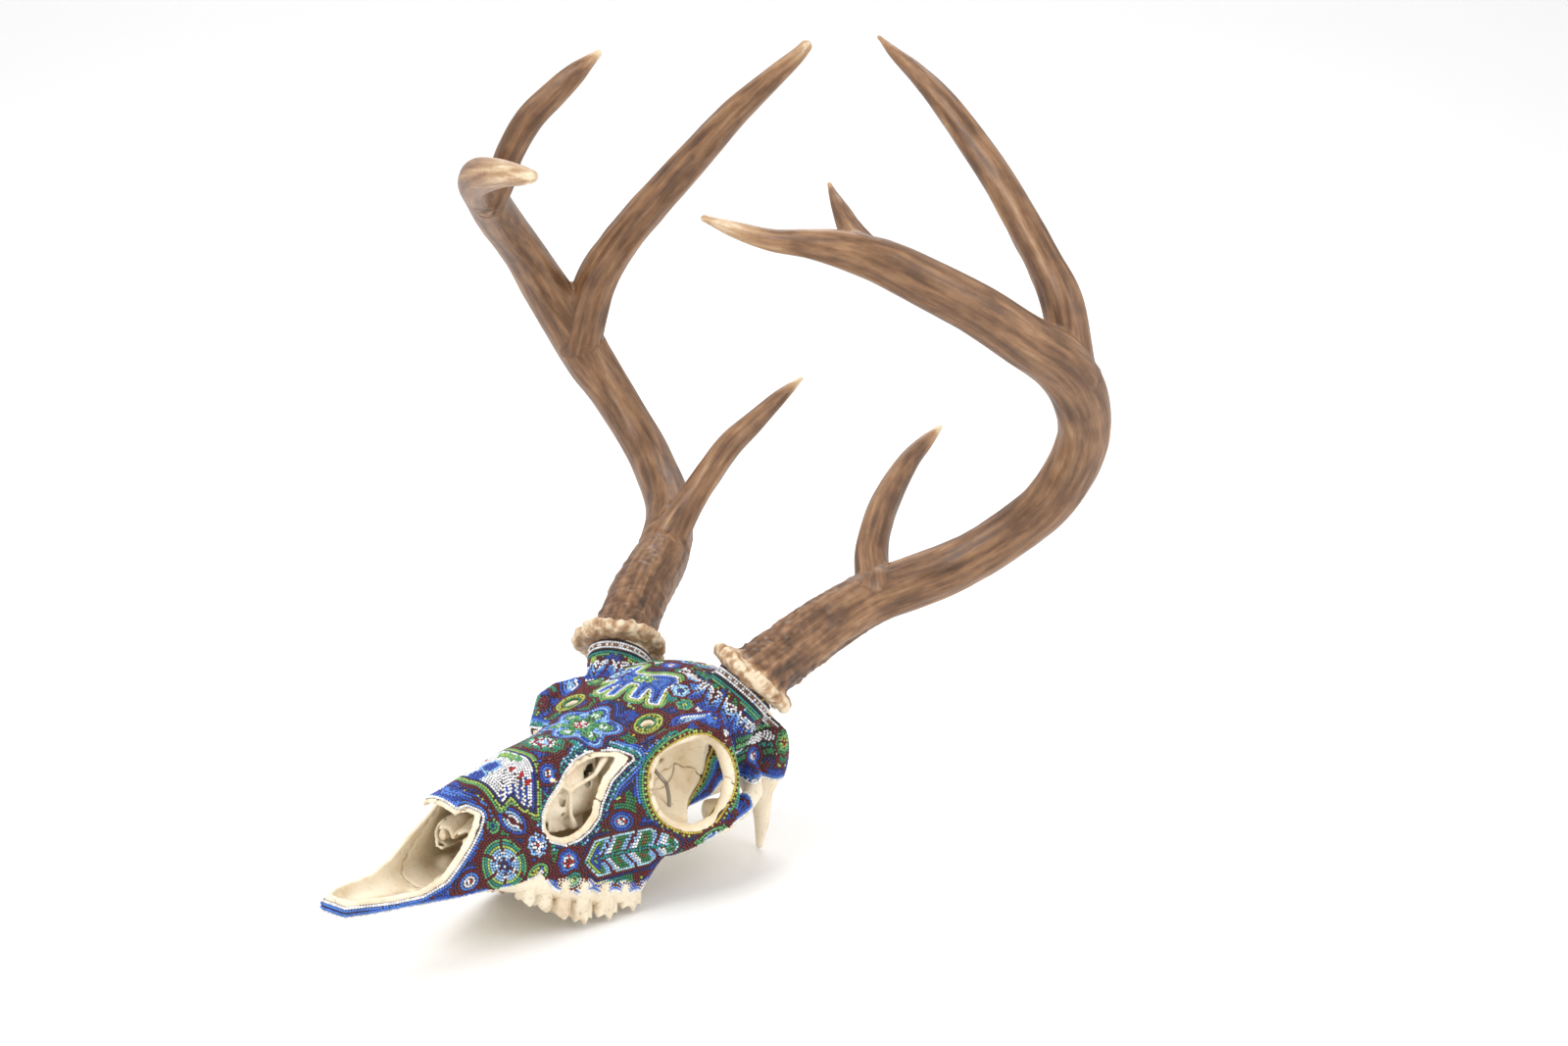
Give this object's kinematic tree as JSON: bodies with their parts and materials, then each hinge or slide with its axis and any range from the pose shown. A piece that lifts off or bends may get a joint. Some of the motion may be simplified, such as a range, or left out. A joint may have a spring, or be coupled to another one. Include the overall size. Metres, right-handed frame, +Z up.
{
  "type": "huichol beaded deer skull",
  "caption": "Antlered deer skull without lower jaw, its outer bone covered in a seed-bead mosaic, standing on its rear teeth and ear spikes",
  "frame": {"origin": "centre of the bounding box's underside, which is the surface the skull stands on; x = 0 is the skull's middle plane", "axes": "+Z up, nose towards -Y, +X the animal's left side; the skull stands nose-up by 9 degrees on its rear molars and paroccipital spikes"},
  "size_m": [0.3878, 0.4016, 0.4208],
  "materials": {
    "bone": "dry cleaned bone, matt with a faint polish",
    "tooth_enamel": "worn enamel with brown staining in the valleys",
    "antler": "grooved antler, satin on the ridges",
    "wire_steel": "dull steel wire",
    "beads_blue": "opaque glass seed beads set in wax",
    "beads_sky": "opaque glass seed beads set in wax",
    "beads_maroon": "opaque glass seed beads set in wax",
    "beads_green": "opaque glass seed beads set in wax",
    "beads_navy": "opaque glass seed beads set in wax",
    "beads_white": "opaque glass seed beads set in wax"
  },
  "bodies": {
    "root": {"premaxilla_left": "bone", "premaxilla_right": "bone", "nasal_left": "bone", "nasal_right": "bone", "maxilla_left": "bone", "maxilla_right": "bone", "lacrimal_left": "bone", "lacrimal_right": "bone", "jugal_left": "bone", "jugal_right": "bone", "frontal_left": "bone", "frontal_right": "bone", "parietal": "bone", "squamosal_left": "bone", "squamosal_right": "bone", "occipital": "bone", "sphenoid": "bone", "ethmoid": "bone", "vomer": "bone", "turbinate_left": "bone", "turbinate_right": "bone", "bulla_left": "bone", "bulla_right": "bone", "tooth_left_1": "tooth_enamel", "tooth_left_2": "tooth_enamel", "tooth_left_3": "tooth_enamel", "tooth_left_4": "tooth_enamel", "tooth_left_5": "tooth_enamel", "tooth_left_6": "tooth_enamel", "tooth_right_1": "tooth_enamel", "tooth_right_2": "tooth_enamel", "tooth_right_3": "tooth_enamel", "tooth_right_4": "tooth_enamel", "tooth_right_5": "tooth_enamel", "tooth_right_6": "tooth_enamel", "antler_left": "antler", "antler_right": "antler", "hanging_wire": "wire_steel", "beads_nose_left": "beads_blue", "beads_nose_right": "beads_blue", "beads_bridge": "beads_sky", "beads_cheek_left": "beads_blue", "beads_cheek_right": "beads_blue", "beads_forehead": "beads_maroon", "beads_arch_left": "beads_green", "beads_arch_right": "beads_green", "beads_temple_left": "beads_navy", "beads_temple_right": "beads_navy", "beads_crown": "beads_sky", "beads_collar_left": "beads_white", "beads_collar_right": "beads_white", "beads_nape": "beads_navy"}
  },
  "joints": []
}
